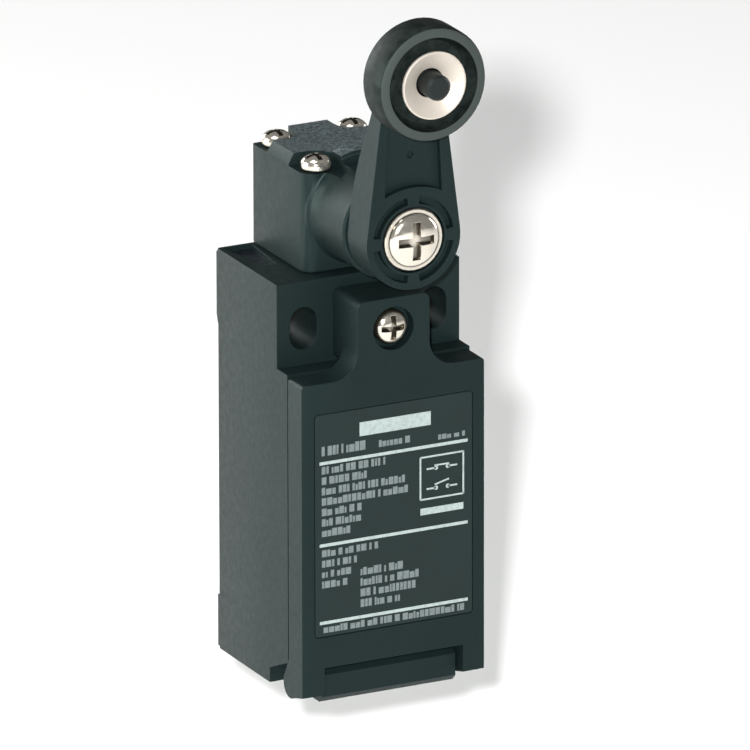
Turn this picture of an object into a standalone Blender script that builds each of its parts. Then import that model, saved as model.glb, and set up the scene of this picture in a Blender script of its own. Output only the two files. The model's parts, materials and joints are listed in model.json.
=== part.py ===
"""Limit switch with a roller lever: 31 mm wide plastic housing, hinged cover, head and contact block.

Sizes are in millimetres until place() turns them into metres. A point is given by x (to the right),
forward (in front of the housing's back face) and height (above the housing's side walls' lower edge).
The object's origin lies between the two mounting slots, on the back mounting pad, and its front
faces -Y.
"""
import math

import bmesh
import bpy
from mathutils import Matrix, Vector

MM = 0.001
GAP = 0.3

# Housing and cover
WIDTH = 31.0
HOUSING_HEIGHT = 64.6
HOUSING_FRONT = 24.0
WALL_FRONT = 20.5
LEDGE_HEIGHT = 51.3
BACK_PAD = 0.4
BACK_WALL = 3.4
CAVITY_HALF_WIDTH = 11.9
CAVITY_FLOOR = 8.2
CAVITY_TOP = 48.4
TONGUE_HALF_WIDTH = 11.4
TONGUE_FRONT = 27.3
FOOT_DEPTH = 1.1
CONDUIT_FORWARD = 13.9
CONDUIT_RADIUS = 10.0
MOUNT_HEIGHT = 57.1
SLOT_SPACING = 22.0
SLOT_WIDTH = 4.6
SLOT_LENGTH = 6.8
COVER_BACK = HOUSING_FRONT + GAP
COVER_FRONT = 29.1
COVER_WALL = 2.2
SHOULDER_HEIGHT = 50.95
NECK_HALF_WIDTH = 6.1
NECK_TOP = 62.9
NECK_FILLET = 4.2
HINGE_FORWARD = 24.6
HINGE_HEIGHT = 1.8
KNUCKLE_RADIUS = 2.2
COVER_SCREW_HEIGHT = 58.0
LABEL_HALF_WIDTH = 13.5
LABEL_LOW = 10.2
LABEL_HIGH = 46.1

# Head
HEAD_BASE = HOUSING_HEIGHT + GAP
HEAD_TOP = 82.4
HEAD_HALF_WIDTH = 9.5
HEAD_DEPTH = 18.2
POCKET_FLOOR = 80.5
HEAD_SCREW_X = 6.4
HEAD_SCREW_FORWARD = (2.35, 15.7)
HEAD_SCREW_RADIUS = 2.35
DOME = ((0.0, 0.0), (0.35, 0.03), (0.6, 0.12), (0.82, 0.28), (0.96, 0.46), (1.0, 0.6))
TOP_POCKET = ((9.9, 0.7), (14.8, 0.7), (12.7, 11.0), (10.9, 11.0))
PLUNGER_FORWARD = 9.0
SHAFT_HEIGHT = 74.1
BOSS_RADIUS = 8.3
BOSS_FRONT = 28.7

# Lever and roller
HUB_BACK = 29.4
LEVER_FRONT = 35.85
HUB_RADIUS = 7.9
ARM_LENGTH = 26.4
ARM_END_RADIUS = 4.6
ROLLER_HEIGHT = SHAFT_HEIGHT + ARM_LENGTH
ROLLER_RADIUS = 9.0
ROLLER_BACK = 36.2
ROLLER_FRONT = 42.6
PIN_RADIUS = 2.0
PIN_FRONT = 44.5

# Contact block
CASE_HALF_WIDTH = 11.2
CASE_LOW = 21.5
CASE_HIGH = 47.6
CASE_BACK = 3.8
CASE_FRONT = 16.0
TERMINAL_X = 7.4
NC_SCREW_HEIGHT = 38.6
NO_SCREW_HEIGHT = 31.1
NC_BRIDGE_LOW = 39.6
NO_BRIDGE_LOW = 31.6
BRIDGE_THICKNESS = 0.6

# How the frame of a flat outline, or of a turned profile, lies in the object
TURNS = {
    "x": Matrix(((0, 0, -1), (-1, 0, 0), (0, 1, 0))),
    "forward": Matrix(((1, 0, 0), (0, 0, -1), (0, 1, 0))),
    "height": Matrix.Identity(3),
}
PLAN_TURN = Matrix(((1, 0, 0), (0, -1, 0), (0, 0, -1)))


def place(x, forward, height):
    """Position in metres of a point given in millimetres."""
    return Vector((x, -(forward + BACK_PAD), height - MOUNT_HEIGHT)) * MM


def new_collection(name):
    collection = bpy.data.collections.new(name)
    bpy.context.scene.collection.children.link(collection)
    return collection


def new_material(name, color, roughness, metallic=0.0):
    material = bpy.data.materials.new(name)
    material.use_nodes = True
    shader = material.node_tree.nodes["Principled BSDF"]
    shader.inputs["Base Color"].default_value = (*color, 1.0)
    shader.inputs["Roughness"].default_value = roughness
    shader.inputs["Metallic"].default_value = metallic
    return material


def add_object(name, mesh, location=(0, 0, 0), turn=None):
    piece = bpy.data.objects.new(name, mesh)
    piece.location = location
    if turn is not None:
        piece.rotation_euler = turn.to_euler()
    PARTS.objects.link(piece)
    return piece


def add_bmesh(name, shape, location, turn=None):
    mesh = bpy.data.meshes.new(name)
    shape.to_mesh(mesh)
    shape.free()
    return add_object(name, mesh, location, turn)


def as_tool(piece):
    """Turn a shape into a helper that only cuts or joins."""
    PARTS.objects.unlink(piece)
    CUTTERS.objects.link(piece)
    piece.hide_render = True
    piece.display_type = "WIRE"


def combine(target, operation, tools):
    for tool in tools:
        as_tool(tool)
        modifier = target.modifiers.new(tool.name, "BOOLEAN")
        modifier.operation = operation
        modifier.object = tool
    return target


def cut(target, *tools):
    return combine(target, "DIFFERENCE", tools)


def join(target, *tools):
    return combine(target, "UNION", tools)


def smooth(piece, degrees=35):
    piece.data.shade_smooth()
    piece.data.set_sharp_from_angle(angle=math.radians(degrees))
    return piece


def block(name, x, forward, height, bevel=0.0, along=None, segments=3):
    """Box between two limits on each axis, with its edges along one axis, or all of them, rounded."""
    low = place(x[0], forward[1], height[0])
    high = place(x[1], forward[0], height[1])
    shape = bmesh.new()
    bmesh.ops.create_cube(shape, size=1.0)
    bmesh.ops.scale(shape, vec=high - low, verts=shape.verts)
    if bevel:
        direction = {"x": Vector((1, 0, 0)), "forward": Vector((0, 1, 0)), "height": Vector((0, 0, 1))}
        edges = []
        for edge in shape.edges:
            run = (edge.verts[1].co - edge.verts[0].co).normalized()
            if along is None or abs(run.dot(direction[along])) > 0.9:
                edges.append(edge)
        bmesh.ops.bevel(shape, geom=edges, offset=bevel * MM, segments=segments, profile=0.5, affect="EDGES")
    return add_bmesh(name, shape, (low + high) / 2)


def centre_line(along, centre, station):
    """Position of a point at a station on a line that runs along one axis."""
    if along == "x":
        return place(station, centre[0], centre[1])
    if along == "forward":
        return place(centre[0], station, centre[1])
    return place(centre[0], centre[1], station)


def rod(name, along, centre, span, radius, segments=32):
    shape = bmesh.new()
    depth = (span[1] - span[0]) * MM
    bmesh.ops.create_cone(shape, cap_ends=True, segments=segments, radius1=radius * MM,
                          radius2=radius * MM, depth=depth)
    location = centre_line(along, centre, (span[0] + span[1]) / 2)
    return smooth(add_bmesh(name, shape, location, TURNS[along]))


def turned(name, along, centre, profile, ring=False, segments=32):
    """Turned piece; its profile is (station, radius) points from the front or top end to the other."""
    shape = bmesh.new()
    points = [shape.verts.new((radius * MM, 0, station * MM)) for station, radius in profile]
    for first, second in zip(points, points[1:]):
        shape.edges.new((first, second))
    if ring:
        shape.edges.new((points[-1], points[0]))
    piece = add_bmesh(name, shape, centre_line(along, centre, 0), TURNS[along])
    screw = piece.modifiers.new("Turn", "SCREW")
    screw.steps = segments
    screw.render_steps = segments
    screw.use_merge_vertices = True
    screw.merge_threshold = 0.00001
    screw.use_smooth_shade = True
    return piece


def curve_to_mesh(name, curve, location, turn=None):
    holder = add_object(name + "_curve", curve, location, turn)
    bpy.context.view_layer.update()
    graph = bpy.context.evaluated_depsgraph_get()
    mesh = bpy.data.meshes.new_from_object(holder.evaluated_get(graph))
    shape = bmesh.new()
    shape.from_mesh(mesh)
    bmesh.ops.remove_doubles(shape, verts=shape.verts, dist=0.000001)
    shape.to_mesh(mesh)
    shape.free()
    mesh.name = name
    piece = add_object(name, mesh)
    piece.matrix_world = holder.matrix_world
    bpy.data.objects.remove(holder)
    return piece


def outline(name, along, span, points):
    """Plate of a flat outline; its points are (x, height), (forward, height) or (x, forward)."""
    curve = bpy.data.curves.new(name, "CURVE")
    curve.dimensions = "2D"
    curve.fill_mode = "BOTH"
    curve.extrude = (span[1] - span[0]) / 2 * MM
    spline = curve.splines.new("POLY")
    spline.points.add(len(points) - 1)
    for point, (across, up) in zip(spline.points, points):
        point.co = (across * MM, up * MM, 0, 1)
    spline.use_cyclic_u = True
    middle = (span[0] + span[1]) / 2
    turn = PLAN_TURN if along == "height" else TURNS[along]
    return curve_to_mesh(name, curve, centre_line(along, (0, 0), middle), turn)


def coil(name, forward, span, radius, wire, turns):
    """Helical spring that stands along the height axis."""
    steps = int(turns * 11)
    curve = bpy.data.curves.new(name, "CURVE")
    curve.dimensions = "3D"
    curve.bevel_depth = wire / 2 * MM
    curve.bevel_resolution = 1
    curve.use_fill_caps = True
    spline = curve.splines.new("POLY")
    spline.points.add(steps)
    for index, point in enumerate(spline.points):
        share = index / steps
        angle = 2 * math.pi * turns * share
        rise = span[0] + wire / 2 + (span[1] - span[0] - wire) * share
        point.co = (radius * math.cos(angle) * MM, radius * math.sin(angle) * MM, rise * MM, 1)
    return smooth(curve_to_mesh(name, curve, place(0, forward, 0)), 60)


def arc(centre, radius, start, end, steps):
    """Points on an arc, with its angles in degrees."""
    angles = [math.radians(start + (end - start) * step / steps) for step in range(steps + 1)]
    return [(centre[0] + radius * math.cos(a), centre[1] + radius * math.sin(a)) for a in angles]


def rounded(across, up, radius, steps=4):
    """Rectangle with round corners."""
    (left, right), (low, high) = across, up
    return (arc((right - radius, high - radius), radius, 0, 90, steps)
            + arc((left + radius, high - radius), radius, 90, 180, steps)
            + arc((left + radius, low + radius), radius, 180, 270, steps)
            + arc((right - radius, low + radius), radius, 270, 360, steps))


def slot(centre, width, length, steps=8):
    """Upright slot with round ends."""
    rise = (length - width) / 2
    return (arc((centre[0], centre[1] + rise), width / 2, 0, 180, steps)
            + arc((centre[0], centre[1] - rise), width / 2, 180, 360, steps))


def axis_empty(name, location, parent=None):
    empty = bpy.data.objects.new(name, None)
    empty.empty_display_size = 0.01
    PARTS.objects.link(empty)
    empty.location = location
    if parent is not None:
        hang(empty, parent)
    return empty


def hang(piece, parent):
    """Parent a piece and keep its place."""
    bpy.context.view_layer.update()
    piece.parent = parent
    piece.matrix_parent_inverse = parent.matrix_world.inverted()


def finish(piece, material, parent=None):
    piece.data.materials.clear()
    piece.data.materials.append(material)
    if parent is not None:
        hang(piece, parent)
    return piece


# ---------------------------------------------------------------- housing

def housing_body():
    half = WIDTH / 2
    corner = 0.4
    plan = ([(half, HOUSING_FRONT)] + arc((half - corner, corner), corner, 0, -90, 2)
            + arc((-half + corner, corner), corner, -90, -180, 2) + [(-half, HOUSING_FRONT)])
    return outline("housing", "height", (0, HOUSING_HEIGHT), plan)


def back_pads():
    flat = WIDTH / 2 - 0.1
    top = [(1.0, 64.3), (0.0, 64.3), (-BACK_PAD, 63.9), (-BACK_PAD, 54.0), (0.0, 52.6), (1.0, 52.6)]
    bottom = [(1.0, 8.6), (-BACK_PAD, 8.6), (-BACK_PAD, 0.3), (1.0, 0.3)]
    return [outline("pad_top", "x", (-flat, flat), top), outline("pad_bottom", "x", (-flat, flat), bottom)]


def housing_foot():
    """Raised foot round the conduit hole, whose front tongue carries the cover's hinge."""
    side = [(1.5, -FOOT_DEPTH), (TONGUE_FRONT - 1.0, -FOOT_DEPTH), (TONGUE_FRONT, -0.1), (TONGUE_FRONT, 3.4),
            (25.4, 4.9), (23.0, 4.9), (23.0, 3.0), (1.5, 3.0)]
    return outline("foot", "x", (-TONGUE_HALF_WIDTH, TONGUE_HALF_WIDTH), side)


def hinge_notches():
    side = [(17.7, -3.0), (17.7, 2.38), (24.6, 5.5), (31.0, 5.5), (31.0, -3.0)]
    return [outline("notch_left", "x", (-18.0, -TONGUE_HALF_WIDTH), side),
            outline("notch_right", "x", (TONGUE_HALF_WIDTH, 18.0), side)]


def mounting_slots():
    span = (-3.0, 27.0)
    return [outline("mounting_slot_%d" % side, "forward", span,
                    slot((side * SLOT_SPACING / 2, MOUNT_HEIGHT), SLOT_WIDTH, SLOT_LENGTH))
            for side in (-1, 1)]


def gasket_ring(name, span, margin):
    """Ring round the wiring cavity; margin is what it keeps clear of its groove's walls."""
    outer = outline(name, "forward", span, rounded((-14.3 + margin, 14.3 - margin),
                                                   (6.0 + margin, 50.6 - margin), 1.4))
    inner = outline(name + "_inner", "forward", (span[0] - 2, span[1] + 2),
                    rounded((-12.7 - margin, 12.7 + margin), (7.4 - margin, 49.2 + margin), 1.0))
    return cut(outer, inner)


def head_gasket_ring(name, span, margin):
    """Ring round the head's cam chamber; margin is what it keeps clear of its groove's walls."""
    outer = outline(name, "height", span, rounded((-8.9 + margin, 8.9 - margin),
                                                  (3.8 + margin, 14.2 - margin), 0.9))
    inner = outline(name + "_inner", "height", (span[0] - 2, span[1] + 2),
                    rounded((-7.5 - margin, 7.5 + margin), (5.1 - margin, 12.9 + margin), 0.5))
    return cut(outer, inner)


def screw_places():
    return [(side * HEAD_SCREW_X, forward) for side in (-1, 1) for forward in HEAD_SCREW_FORWARD]


def make_housing():
    body = housing_body()
    join(body, *back_pads(), housing_foot())
    cut(body, block("wall_step", (-20, 20), (WALL_FRONT, 30), (LEDGE_HEIGHT, 70)))
    cut(body, *hinge_notches())
    cut(body, block("wiring_cavity", (-CAVITY_HALF_WIDTH, CAVITY_HALF_WIDTH), (BACK_WALL, 30),
                    (CAVITY_FLOOR, CAVITY_TOP), 1.2, "forward"))
    cut(body, rod("conduit_bore", "height", (0, CONDUIT_FORWARD), (-4.0, 12.0), CONDUIT_RADIUS, 48),
        *mounting_slots())
    cut(body, gasket_ring("gasket_groove", (22.5, 26.0), 0.0))
    cut(body, head_gasket_ring("head_gasket_groove", (63.3, 67.0), 0.0))
    cut(body, rod("plunger_channel", "height", (0, PLUNGER_FORWARD), (46.0, 67.0), 3.5),
        rod("guide_counterbore", "height", (0, PLUNGER_FORWARD), (61.1, 67.0), 4.5))
    cut(body, rod("insert_hole", "forward", (0, COVER_SCREW_HEIGHT), (14.4, 23.0), 3.0, 24))
    for number, spot in enumerate(screw_places(), 1):
        cut(body, rod("head_screw_hole_%d" % number, "height", spot, (56.0, 67.0), 1.4, 16))
    for side in (-1, 1):
        cut(body, rod("case_screw_hole_%d" % side, "forward", (side * 8.2, 19.4), (1.2, 5.0), 1.2, 16))
        inner, outer = sorted((side * 9.7, side * 11.8))
        cut(body, rod("hinge_bore_%d" % side, "x", (HINGE_FORWARD, HINGE_HEIGHT), (inner, outer), 1.5, 20))
        corners = [(side * x, forward) for x, forward in TOP_POCKET]
        cut(body, outline("top_pocket_%d" % side, "height", (63.9, 67.0), corners))
    return body


# ------------------------------------------------------------------ cover

def cover_outline():
    half = WIDTH / 2
    corner = 1.0
    top = 1.2
    right = ([(half - corner, 0.9)] + arc((half - corner, 0.9 + corner), corner, -90, 0, 4)[1:]
             + arc((half - 0.6, SHOULDER_HEIGHT - 0.6), 0.6, 0, 90, 3)
             + arc((NECK_HALF_WIDTH + NECK_FILLET, SHOULDER_HEIGHT + NECK_FILLET), NECK_FILLET, 270, 180, 8)
             + arc((NECK_HALF_WIDTH - top, NECK_TOP - top), top, 0, 90, 5))
    left = [(-x, height) for x, height in reversed(right)]
    return right + left


def cover_lug(side):
    """Hinge lug at one lower corner, with the stub that turns in the housing's tongue."""
    web = [(24.4, HINGE_HEIGHT - KNUCKLE_RADIUS), (COVER_FRONT, 0.9), (COVER_FRONT, 5.8), (COVER_BACK, 5.8),
           (22.43, 2.4)]
    low, high = sorted((side * 11.8, side * WIDTH / 2))
    stub = sorted((side * 10.1, side * 12.6))
    hinge = (HINGE_FORWARD, HINGE_HEIGHT)
    return [outline("lug_web_%d" % side, "x", (low, high), web),
            rod("lug_knuckle_%d" % side, "x", hinge, (low, high), KNUCKLE_RADIUS),
            rod("lug_stub_%d" % side, "x", hinge, stub, 1.2, 20)]


def front_chamfers():
    """Shallow slopes along the cover's two long front edges."""
    half = WIDTH / 2
    tools = []
    for side in (-1, 1):
        plan = [(side * (half + 1.0), COVER_FRONT - 0.44), (side * (half - 1.3), COVER_FRONT),
                (side * (half - 1.3), COVER_FRONT + 2.0), (side * (half + 1.0), COVER_FRONT + 2.0)]
        tools.append(outline("front_chamfer_%d" % side, "height", (-3.0, 55.0), plan))
    return tools


def make_cover():
    cover = outline("cover", "forward", (COVER_BACK, COVER_FRONT), cover_outline())
    neck = rounded((-NECK_HALF_WIDTH, NECK_HALF_WIDTH), (LEDGE_HEIGHT + GAP, NECK_TOP), 1.2, 5)
    join(cover, outline("neck_back", "forward", (WALL_FRONT + GAP, 26.0), neck))
    cut(cover, block("cover_hollow", (-WIDTH / 2 + COVER_WALL, WIDTH / 2 - COVER_WALL),
                     (20.0, COVER_FRONT - COVER_WALL), (6.9, 48.8), 1.2, "forward"))
    cut(cover, block("tongue_window", (-11.8, 11.8), (20, 32), (-3, 5.25)))
    for side in (-1, 1):
        join(cover, *cover_lug(side))
    cut(cover, *front_chamfers())
    spot = (0, COVER_SCREW_HEIGHT)
    cut(cover, rod("screw_counterbore", "forward", spot, (27.1, 31.0), 3.45, 28),
        rod("screw_clearance", "forward", spot, (23.0, 28.0), 1.9, 20),
        rod("clip_recess", "forward", spot, (19.0, 24.6), 3.3, 20))
    cut(cover, outline("label_recess", "forward", (COVER_FRONT - 0.4, 31.0),
                       rounded((-LABEL_HALF_WIDTH, LABEL_HALF_WIDTH), (LABEL_LOW, LABEL_HIGH), 0.6)))
    return cover


def make_label():
    inset = 0.15
    return outline("label_plate", "forward", (COVER_FRONT - 0.3, COVER_FRONT - 0.05),
                   rounded((-LABEL_HALF_WIDTH + inset, LABEL_HALF_WIDTH - inset),
                           (LABEL_LOW + inset, LABEL_HIGH - inset), 0.5))


def cross_recess(name, along, centre, span, length, width):
    """The two bars of a cross recess in a screw's head."""
    bars = []
    for number, (first, second) in enumerate(((length, width), (width, length))):
        across = (centre[0] - first / 2, centre[0] + first / 2)
        other = (centre[1] - second / 2, centre[1] + second / 2)
        if along == "forward":
            bars.append(block("%s_bar_%d" % (name, number), across, span, other))
        else:
            bars.append(block("%s_bar_%d" % (name, number), across, other, span))
    return bars


def pan_screw(name, along, centre, seat, end, head, shank, segments=24, flange=0.0):
    """Domed screw; head and shank are (radius, length), and seat is where the head's underside is."""
    radius, height = head
    top = seat + height
    dome = radius - flange
    profile = [(top - drop * height, share * dome) for share, drop in DOME]
    if flange:
        brim = seat + 0.3 * height
        profile += [(brim, dome), (brim, radius - 0.15), (brim - 0.15, radius)]
    profile += [(seat, radius), (seat, shank), (end + shank * 0.5, shank), (end, shank * 0.6), (end, 0.0)]
    screw = turned(name, along, centre, profile, segments=segments)
    bars = cross_recess(name, along, centre, (top - height * 0.55, top + 2.0), dome * 1.42, dome * 0.32)
    return cut(screw, *bars)


def make_cover_screw():
    return pan_screw("cover_screw", "forward", (0, COVER_SCREW_HEIGHT), 27.4, 18.2, (2.75, 1.9), 1.5, 24)


def ring_profile(stations, radii):
    (back, front), (inner, outer) = stations, radii
    return [(front, outer), (back, outer), (back, inner), (front, inner)]


def washer(name, along, centre, stations, radii, segments=24):
    return turned(name, along, centre, ring_profile(stations, radii), True, segments)


# ------------------------------------------------------------------- head

def head_outline():
    front_corner = 2.0
    back_corner = 0.6
    right = (arc((HEAD_HALF_WIDTH - front_corner, HEAD_DEPTH - front_corner), front_corner, 90, 0, 5)
             + arc((HEAD_HALF_WIDTH - back_corner, back_corner), back_corner, 0, -90, 3))
    return right + [(-x, forward) for x, forward in reversed(right)]


def pocket(number, spot):
    """Corner pocket over a head screw: round inside, open to the two outer faces."""
    x, forward = spot
    side = math.copysign(1, x)
    end = 1 if forward > PLUNGER_FORWARD else -1
    radius = 3.1
    reach = 6.0
    inner = [(x - side * radius * math.cos(math.radians(angle)),
              forward - end * radius * math.sin(math.radians(angle)))
             for angle in range(0, 91, 15)]
    points = ([(x - side * radius, forward + end * reach)] + inner
              + [(x + side * reach, forward - end * radius), (x + side * reach, forward + end * reach)])
    return outline("screw_pocket_%d" % number, "height", (POCKET_FLOOR, HEAD_TOP + 3), points)


def boss():
    centre = (0, SHAFT_HEIGHT)
    profile = [(BOSS_FRONT, 0.0), (BOSS_FRONT, BOSS_RADIUS - 0.3), (BOSS_FRONT - 0.3, BOSS_RADIUS),
               (20.6, BOSS_RADIUS)]
    steps = 3
    for step in range(1, steps + 1):
        angle = math.pi / 2 * step / steps
        profile.append((20.6 - 2.6 * math.sin(angle), BOSS_RADIUS + 0.9 * (1 - math.cos(angle))))
    profile += [(15.0, BOSS_RADIUS + 0.9), (15.0, 0.0)]
    return turned("boss", "forward", centre, profile, segments=44)


def make_head():
    head = outline("head", "height", (HEAD_BASE, HEAD_TOP), head_outline())
    for side in (-1, 1):
        slope = [(side * 12.0, 80.8), (side * HEAD_HALF_WIDTH, 80.8), (side * 8.6, HEAD_TOP),
                 (side * 8.6, HEAD_TOP + 3), (side * 12.0, HEAD_TOP + 3)]
        cut(head, outline("head_slope_%d" % side, "forward", (-3.0, 25.0), slope))
    join(head, boss())
    cut(head, block("boss_flat", (-9, 9), (HEAD_DEPTH + 0.2, 32.0), (81.6, HEAD_TOP + 3)))
    for number, spot in enumerate(screw_places(), 1):
        cut(head, pocket(number, spot),
            rod("head_clearance_%d" % number, "height", spot, (62.0, 84.0), 1.4, 16))
    cut(head, block("cam_chamber", (-7.2, 7.2), (5.2, 12.8), (62.0, 79.8), 1.5, "forward"))
    centre = (0, SHAFT_HEIGHT)
    cut(head, rod("rear_bearing", "forward", centre, (1.5, 6.0), 2.2, 24),
        rod("shaft_way", "forward", centre, (12.0, 19.0), 3.5, 28),
        rod("bush_bore", "forward", centre, (17.9, 31.0), 4.9),
        rod("seal_bore", "forward", centre, (26.4, 31.0), 5.8))
    return head


# ------------------------------------------------------- shaft, cam, lever

def make_shaft():
    profile = [(33.4, 0.0), (33.4, 2.9), (33.2, 3.1), (11.6, 3.1), (11.6, 2.4), (5.5, 2.4), (5.5, 2.0),
               (2.2, 2.0), (1.9, 1.7), (1.9, 0.0)]
    shaft = turned("shaft", "forward", (0, SHAFT_HEIGHT), profile, segments=24)
    return cut(shaft, rod("shaft_thread", "forward", (0, SHAFT_HEIGHT), (24.0, 36.0), 2.2, 20))


def make_cam():
    """Round cam whose V notch stands over the plunger in the lever's middle place."""
    radius = 5.0
    notch = 3.6
    edge = math.degrees(math.asin(2.6 / radius))
    points = arc((0, SHAFT_HEIGHT), radius, -90 + edge, 270 - edge, 26)
    points += [(-1.2, SHAFT_HEIGHT - notch), (1.2, SHAFT_HEIGHT - notch)]
    cam = outline("cam", "forward", (6.9, 11.2), points)
    return cut(cam, rod("cam_bore", "forward", (0, SHAFT_HEIGHT), (5.0, 13.0), 2.65, 20))


def lever_outline():
    lean = math.degrees(math.asin((HUB_RADIUS - ARM_END_RADIUS) / ARM_LENGTH))
    return (arc((0, ROLLER_HEIGHT), ARM_END_RADIUS, lean, 180 - lean, 10)
            + arc((0, SHAFT_HEIGHT), HUB_RADIUS, 180 - lean, 360 + lean, 30))


def lever_back():
    """What is cut from the arm's back: it thins from the hub towards the roller."""
    slope = [(HUB_BACK, 81.0), (29.8, 83.6), (30.3, 86.2), (31.0, 88.8), (31.9, 91.4), (32.6, 94.0),
             (32.8, 97.0)]
    return outline("arm_back", "x", (-12, 12), slope + [(32.8, 112.0), (25.0, 112.0), (25.0, 81.0)])


def lever_panel():
    """Sunk panel on the arm's front, with a curved lower edge above the hub."""
    lower = arc((0, 71.4), 11.0, 64.0, 116.0, 12)
    return outline("arm_panel", "forward", (LEVER_FRONT - 1.2, LEVER_FRONT + 3),
                   [(4.1, 95.0)] + lower + [(-4.1, 95.0)])


def hub_slot(number):
    """One of four curved slots round the lever's screw."""
    centre = (0, SHAFT_HEIGHT)
    start = 90 * number + 9
    end = start + 72
    points = arc(centre, 6.85, start, end, 7) + arc(centre, 5.65, end, start, 7)
    return outline("hub_slot_%d" % number, "forward", (LEVER_FRONT - 1.4, LEVER_FRONT + 3), points)


def make_lever():
    lever = outline("lever", "forward", (HUB_BACK, LEVER_FRONT), lever_outline())
    hub = (0, SHAFT_HEIGHT)
    cut(lever, lever_back(), lever_panel())
    for number in range(4):
        cut(lever, hub_slot(number))
    cut(lever, rod("shaft_seat", "forward", hub, (27.0, 33.7), 3.4, 28),
        rod("screw_way", "forward", hub, (32.0, 37.0), 2.4, 24),
        rod("screw_recess", "forward", hub, (LEVER_FRONT - 1.25, 38.0), 5.25),
        rod("dimple", "forward", (0, 87.3), (34.2, 37.0), 0.6, 16),
        rod("pin_hole", "forward", (0, ROLLER_HEIGHT), (30.0, 38.0), PIN_RADIUS + 0.3, 24))
    return lever


def make_lever_screw():
    return pan_screw("lever_screw", "forward", (0, SHAFT_HEIGHT), 35.4, 26.0, (4.9, 1.8), 1.9, 32, 0.7)


def make_roller_pin():
    profile = [(PIN_FRONT, 0.0), (PIN_FRONT, PIN_RADIUS - 0.4), (PIN_FRONT - 0.4, PIN_RADIUS),
               (32.5, PIN_RADIUS),
               (32.5, 3.0), (31.9, 3.0), (31.5, 2.4), (31.5, 0.0)]
    return turned("roller_pin", "forward", (0, ROLLER_HEIGHT), profile, segments=24)


def make_roller():
    bore = PIN_RADIUS + 0.3
    profile = [(ROLLER_FRONT, 8.2), (42.35, 8.75), (41.8, ROLLER_RADIUS), (37.0, ROLLER_RADIUS),
               (36.45, 8.75), (ROLLER_BACK, 8.2), (ROLLER_BACK, bore), (40.4, bore),
               (40.4, 6.5), (41.2, 7.15), (ROLLER_FRONT, 7.4)]
    return turned("roller", "forward", (0, ROLLER_HEIGHT), profile, True, 52)


def make_roller_washer():
    """Dished washer between the roller and the pin's end."""
    bore = PIN_RADIUS + 0.3
    profile = [(42.95, 5.05), (42.9, 5.3), (42.5, 5.3), (40.8, bore), (41.3, bore)]
    return turned("roller_washer", "forward", (0, ROLLER_HEIGHT), profile, True, 36)


# ---------------------------------------------------------- plunger group

def make_plunger():
    profile = [(68.7, 0.0), (68.7, 1.7), (68.3, 2.6), (67.8, 3.0), (67.1, 3.0), (67.1, 1.5),
               (51.3, 1.5), (51.3, 0.0)]
    return turned("plunger", "height", (0, PLUNGER_FORWARD), profile, segments=24)


def make_plunger_guide():
    profile = [(62.5, 4.2), (61.4, 4.2), (61.4, 3.2), (57.5, 3.2), (57.5, 1.65), (62.5, 1.65)]
    return turned("plunger_guide", "height", (0, PLUNGER_FORWARD), profile, True, 24)


def round_seal(name, along, centre, station, radius, thickness, segments=24):
    """O-ring; radius is that of the middle of its section."""
    section = [(station + y, x) for x, y in arc((radius, 0), thickness / 2, 90, -210, 5)]
    return turned(name, along, centre, section, True, segments)


def make_carrier():
    """Contact carrier: a post with a window for each bridge, and the button that the plunger presses."""
    post = block("contact_carrier", (-1.9, 1.9), (7.1, 10.9), (27.6, 45.3), 0.3, "height", 1)
    join(post, rod("carrier_button", "height", (0, PLUNGER_FORWARD), (43.0, 51.0), 1.8, 24))
    for name, low in (("nc", NC_BRIDGE_LOW), ("no", NO_BRIDGE_LOW)):
        cut(post, block(name + "_window", (-4, 4), (7.9, 10.1), (low - GAP, low + 2.2)))
    return post


def make_bridge(name, low, contact_side):
    """Moving contact strip with a rivet at each end, on the side that meets the fixed contacts."""
    high = low + BRIDGE_THICKNESS
    strip = block(name, (-7.3, 7.3), (8.15, 9.85), (low, high))
    span = (high - 0.2, high + 0.25) if contact_side > 0 else (low - 0.25, low + 0.2)
    for side in (-1, 1):
        join(strip, rod("%s_rivet_%d" % (name, side), "height", (side * 6.2, PLUNGER_FORWARD), span, 0.8,
                        14))
    return strip


# ----------------------------------------------------------- contact block

def make_case():
    """Contact block's moulding: chamber open at the back, barriers between the terminals in front."""
    case = block("switch_case", (-CASE_HALF_WIDTH, CASE_HALF_WIDTH), (CASE_BACK, CASE_FRONT),
                 (CASE_LOW, CASE_HIGH),
                 0.5, "forward", 2)
    join(case, block("case_ear", (-CASE_HALF_WIDTH + 0.3, CASE_HALF_WIDTH - 0.3), (CASE_BACK, 6.6),
                     (17.2, 22.5)),
         block("upright_barrier", (-0.9, 0.9), (15.0, 20.5), (24.0, 46.0)),
         block("level_barrier", (-10.9, 10.9), (15.0, 19.0), (34.45, 35.25)))
    cut(case, block("chamber", (-9.4, 9.4), (0.0, 12.6), (23.3, 45.8)),
        rod("button_hole", "height", (0, PLUNGER_FORWARD), (44.0, 49.0), 2.15, 24))
    for side in (-1, 1):
        for name, arm_low, screw_height in terminal_levels():
            low, high = sorted((side * 7.2, side * 9.3))
            cut(case, block("%s_slit_%d" % (name, side), (low, high), (11.0, 18.0),
                            (arm_low - GAP, arm_low + 1.1)),
                rod("%s_thread_%d" % (name, side), "forward", (side * TERMINAL_X, screw_height),
                    (13.0, 18.0), 1.5, 16))
        cut(case, rod("ear_hole_%d" % side, "forward", (side * 8.2, 19.4), (2.0, 8.0), 1.3, 16))
    return case


def terminal_levels():
    """Name, contact arm's lower side and screw height of the two rows of terminals."""
    nc_arm = NC_BRIDGE_LOW + BRIDGE_THICKNESS + 1.0
    no_arm = NO_BRIDGE_LOW - 3.9
    return [("nc", nc_arm, NC_SCREW_HEIGHT), ("no", no_arm, NO_SCREW_HEIGHT)]


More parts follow.
